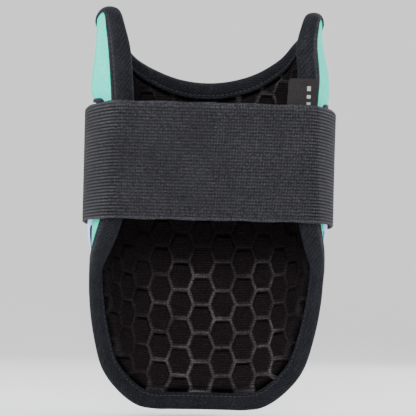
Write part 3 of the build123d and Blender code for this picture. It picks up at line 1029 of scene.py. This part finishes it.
STRAP_THICKNESS = 1.6
STRAP_WIDTH = 63.5
TUCK_STEPS = (0, 0.04, 0.12, 0.24, 0.4, 0.6, 0.8)
STRAP_DEPTH = -4.0 - STRAP_THICKNESS / 2
STRAP_LOW = (-43.4, 105.8)
STRAP_HIGH = (-52.4, 168.66)
STRAP_FLANK_RADIUS = FLANK_RADIUS + STRAP_THICKNESS / 2
STRAP_SIDE_X = CORNER_CENTRE_X + CORNER_RADIUS - STRAP_DEPTH
STRAP_FLANK_CENTRE = STRAP_SIDE_X - STRAP_FLANK_RADIUS
RIBS = 36
RIB_RISE = 0.42
CREASE_ROUND = 4.5
FREE_ANGLE = 64.0
TUCK = 3.6


def strap_line(share, end_angle, tucked):
    """Middle line of one strap half at a height share, for the right side: from its end round the
    flank, over the crease, to the middle of the opening. Returns points in plan, and the height."""
    height = STRAP_LOW[1] + share * (STRAP_HIGH[1] - STRAP_LOW[1])
    plane_y = STRAP_LOW[0] + share * (STRAP_HIGH[0] - STRAP_LOW[0])
    up = height - BEND_Z

    def real_y(forward):
        return BEND_Y + np.sqrt((forward - BEND_Y) ** 2 - up**2)

    angles = np.linspace(end_angle, 90, 30)
    if tucked:
        angles = np.concatenate([end_angle + TUCK * np.array(TUCK_STEPS), angles[4:]])
    dive = np.clip(1 - (angles - end_angle) / TUCK, 0, 1) if tucked else np.zeros(len(angles))
    radius = CORNER_RADIUS - STRAP_DEPTH + (STRAP_DEPTH - 0.3) * (1 - np.sqrt(1 - dive**2))
    turn = np.radians(angles)
    line = [np.stack([CORNER_CENTRE_X + radius * np.sin(turn), real_y(radius * np.cos(turn))], 1)]
    forward = sqrt((plane_y - BEND_Y) ** 2 + up**2) + BEND_Y
    last = asin(-forward / STRAP_FLANK_RADIUS)
    crease_x = STRAP_FLANK_CENTRE + STRAP_FLANK_RADIUS * cos(last)
    turn = np.linspace(0, last - CREASE_ROUND / STRAP_FLANK_RADIUS, 34)[1:]
    flank = np.stack([STRAP_FLANK_CENTRE + STRAP_FLANK_RADIUS * np.cos(turn),
                      real_y(-STRAP_FLANK_RADIUS * np.sin(turn))], 1)
    line.append(flank)
    middle = np.array([crease_x, plane_y])
    end = np.array([crease_x - CREASE_ROUND, plane_y])
    k = np.linspace(0, 1, 12)[1:, None]
    line.append((1 - k) ** 2 * flank[-1] + 2 * k * (1 - k) * middle + k**2 * end)
    flat = np.linspace(end[0], 0, 46)[1:]
    line.append(np.stack([flat, np.full(45, plane_y)], 1))
    return np.concatenate(line), height


def strap_half(name, side_sign, end_angle, tucked):
    """Ribbed elastic from one free end to the middle of the opening, as a closed band."""
    steps = RIBS * 6
    loop = [(k / steps, 1) for k in range(steps + 1)]
    loop += [(k / steps, -1) for k in range(steps, -1, -3)]
    rows, ribs, chart = [], [], []
    for share, face in loop:
        wave = 0.5 - 0.5 * cos(2 * pi * share * RIBS)
        selvedge = 1 - min(1.0, min(share, 1 - share) * RIBS / 0.6)
        edge_line = max(hump(share * RIBS, 0.5, 0.5), hump((1 - share) * RIBS, 1.0, 0.6))
        line, height = strap_line(share, end_angle, tucked)
        wrapped = rise(line[:, 0], 48, 58)
        valley = (1 - sqrt(wave)) * (1 - selvedge) * (0.5 + 0.5 * wrapped)
        half = (STRAP_THICKNESS / 2 - RIB_RISE * valley - 0.4 * selvedge)[:, None]
        along = np.gradient(line, axis=0)
        along /= np.linalg.norm(along, axis=1)[:, None]
        outward = np.stack([-along[:, 1], along[:, 0]], 1)
        line = line + outward * face * half
        run = np.concatenate([[0], np.cumsum(np.linalg.norm(np.diff(line, axis=0), axis=1))])
        fray = 0.2 * np.sin(run / 4.3) * selvedge
        rows.append(np.stack([side_sign * line[:, 0], line[:, 1], height + fray], 1))
        # Colour of the strap from its ribs: painted shade in the valleys between them, weaker on the flat
        # middle, painted highlight on the crests where the strap wraps round the flanks, and a lighter
        # line along both edges.
        shade = (1 - wave) * (1 - selvedge) * (0.52 + 0.48 * wrapped)
        ribs.append(1 - shade + 0.55 * wrapped * wave + 0.35 * edge_line)
        chart.append(np.stack([run, np.full(len(line), share * STRAP_WIDTH)], 1))
    grid = np.array(rows)
    columns = grid.shape[1]
    faces = tube_grid(len(loop), columns, True, False)
    caps = [tuple(i * columns + c for i in range(len(loop))) for c in (0, columns - 1)]
    return face_out(new_mesh(name, grid.reshape(-1, 3), faces + caps, np.concatenate(chart),
                             {"rib_painted_light": np.concatenate(ribs)}))


left = strap_half("strap_fixed_half", -1, SLOT_ANGLE, True)
place(left, ELASTIC, None, "strap_elastic", "strap_left")
right = strap_half("strap_free_half", 1, FREE_ANGLE, False)
place(right, ELASTIC, None, "strap_elastic", "strap_side", "strap_back")


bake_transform(left)
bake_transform(right)

# ---------------------------------------------------------------- closure


def height_chart(z):
    return CHART_RADIUS * asin((z - BEND_Z) / (CORNER_RADIUS * cos(radians(70)) - BEND_Y))


def rounded_box(s_low, s_high, t_low, t_high, radius):
    """Closed chart loop of a rectangle with round corners."""
    line = []
    for cx, cy, first in ((s_high - radius, t_low + radius, -90), (s_high - radius, t_high - radius, 0),
                          (s_low + radius, t_high - radius, 90), (s_low + radius, t_low + radius, 180)):
        for k in range(9):
            angle = radians(first + 90 * k / 8)
            line.append((cx + radius * cos(angle), cy + radius * sin(angle)))
    return even_loop(np.array(line), 0.9)


def even_face(depth):
    """A face at one depth all over."""
    return lambda s, t, away: np.full(np.shape(s), depth)


def tape_outline(first_angle, last_angle):
    return rounded_box(corner_chart(first_angle), corner_chart(last_angle), patch_low, patch_high, 2.5)


TAPE_RINGS = (0.15, 0.4, 0.8)
patch_low, patch_high = height_chart(108.8), height_chart(165.7)
loop_face = bevelled(-2.3, -3.0, 0.8)
loops = patch("loop_tape", tape_outline(63.5, 85.5), 1.2, loop_face, -1.9, rings=TAPE_RINGS)
place(loops, LOOP, "guard", "loop_tape", "loop_patch")
hooks = patch("hook_tape", tape_outline(65, 84.5), 1.2, even_face(-3.4), -3.98, rings=TAPE_RINGS)
place(face_out(hooks), HOOK, "strap_end", "hook_tape", "hook_patch")

TAB_MIDDLE_Z = (STRAP_LOW[1] + STRAP_HIGH[1]) / 2


def tab_depth(s, t, away):
    grip = rise(away, 1.0, 1.8) * (1 - rise(s, corner_chart(61.6), corner_chart(62.4)))
    ridges = 0.35 * grip * np.maximum(0, np.sin(2 * pi * (corner_chart(63) - s) / 2.4))
    return bevelled(-5.75, -6.3, 0.7)(s, t, away) - ridges


def tab_back(s):
    """The tab's underside steps up on to the strap, where it is sewn."""
    return -4.6 - 1.08 * rise(s, corner_chart(63.0), corner_chart(63.7))


tab_mid = height_chart(TAB_MIDDLE_Z)
tab_outline = rounded_box(corner_chart(55.3), corner_chart(68.5), tab_mid - 14, tab_mid + 14, 3.2)
tab = patch("finger_tab_rubber", tab_outline, 0.7, tab_depth, tab_back, rings=(0.12, 0.35, 0.7, 1.1, 1.6))
place(face_out(tab), RUBBER, None, "tab_rubber", "pull_tab")
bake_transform(tab)

for index, angle in enumerate((70.5, 82.5)):
    seam = np.array([(corner_chart(angle), t) for t in np.linspace(patch_low + 1, patch_high - 1, 30)])
    row = row_on_wall(f"closure_stitches_{index}", seam, -5.62, True, 2.6, 0.22, closed=False)
    place(row, DARK_THREAD, "strap_end", "strap_elastic")

# the webbing under the plate that holds the strap's fixed end keeps its CAD shape
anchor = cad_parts["strap_anchor"]
anchor.data.materials.clear()
anchor.data.materials.append(ELASTIC)

# ---------------------------------------------------------------- label

LABEL_HIGH_Z = 183.0
LABEL_LOW_Z = 160.0
LABEL_INNER_X = 39.6
LABEL_CORNER = 1.6
LABEL_OUTER_X = 54.9
LABEL_LOW_Y = -49.3
LABEL_TILT = 2.6
BLOCK_HEIGHTS = ((176.4, 178.9), (172.4, 174.2), (169.0, 170.3))


def label():
    """Folded ribbon: two leaves joined at the free fold, sewn down at the outer side."""
    rows = []
    chart = []
    straight = np.linspace(LABEL_LOW_Z, LABEL_HIGH_Z - LABEL_CORNER, 20)
    heights = np.concatenate([straight, LABEL_HIGH_Z - np.array([1.2, 0.8, 0.4, 0.15, 0])])
    for z in heights:
        share = (z - LABEL_LOW_Z) / (LABEL_HIGH_Z - LABEL_LOW_Z)
        y = LABEL_LOW_Y - LABEL_TILT * share
        rounded = max(0.0, z - LABEL_HIGH_Z + LABEL_CORNER)
        turned = LABEL_CORNER - sqrt(LABEL_CORNER**2 - rounded**2 + 1e-9)
        inner = LABEL_INNER_X - 1.3 * (1 - share) + turned
        outer = LABEL_OUTER_X - 1.2 * (1 - share)
        line = []
        for k in range(15):
            along = k / 14
            curl = 0.35 * sin(pi * along)
            line.append((outer + (inner - outer) * along, y - 0.5 - curl))
        for k in range(1, 6):
            angle = pi * k / 6
            line.append((inner - 0.45 * sin(angle), y - 0.5 * cos(angle)))
        for k in range(15):
            along = k / 14
            curl = 0.3 * sin(pi * along)
            line.append((inner + (outer - inner) * along, y + 0.5 - curl))
        rows.append([(x, yy, z) for x, yy in line])
        chart.append([(i * 0.9, z) for i in range(len(line))])
    grid = np.array(rows)
    count, columns = grid.shape[:2]
    faces = tube_grid(count, columns, False, True)
    faces.append(tuple(reversed(range(columns))))
    faces.append(tuple((count - 1) * columns + k for k in range(columns)))
    return face_out(new_mesh("folded_label", grid.reshape(-1, 3), faces, np.array(chart).reshape(-1, 2)))


ribbon = label()
place(ribbon, RIBBON, "guard", "label_weave", "side_label")


def label_blocks():
    """Three plain woven blocks in place of any lettering."""
    verts, faces = [], []
    for low, high in BLOCK_HEIGHTS:
        a = len(verts)
        for z in (low, high):
            share = (z - LABEL_LOW_Z) / (LABEL_HIGH_Z - LABEL_LOW_Z)
            y = LABEL_LOW_Y - LABEL_TILT * share - 0.78
            for x in (49.0, 51.0):
                verts += [(x, y - 0.1, z), (x, y + 0.2, z)]
        faces += [(a, a + 2, a + 6, a + 4), (a + 1, a + 5, a + 7, a + 3), (a, a + 4, a + 5, a + 1),
                  (a + 2, a + 3, a + 7, a + 6), (a, a + 1, a + 3, a + 2), (a + 4, a + 6, a + 7, a + 5)]
    return face_out(new_mesh("label_blocks", verts, faces))


blocks = label_blocks()
blocks.data.shade_flat()
place(blocks, MARK_THREAD, "guard", "label_weave")
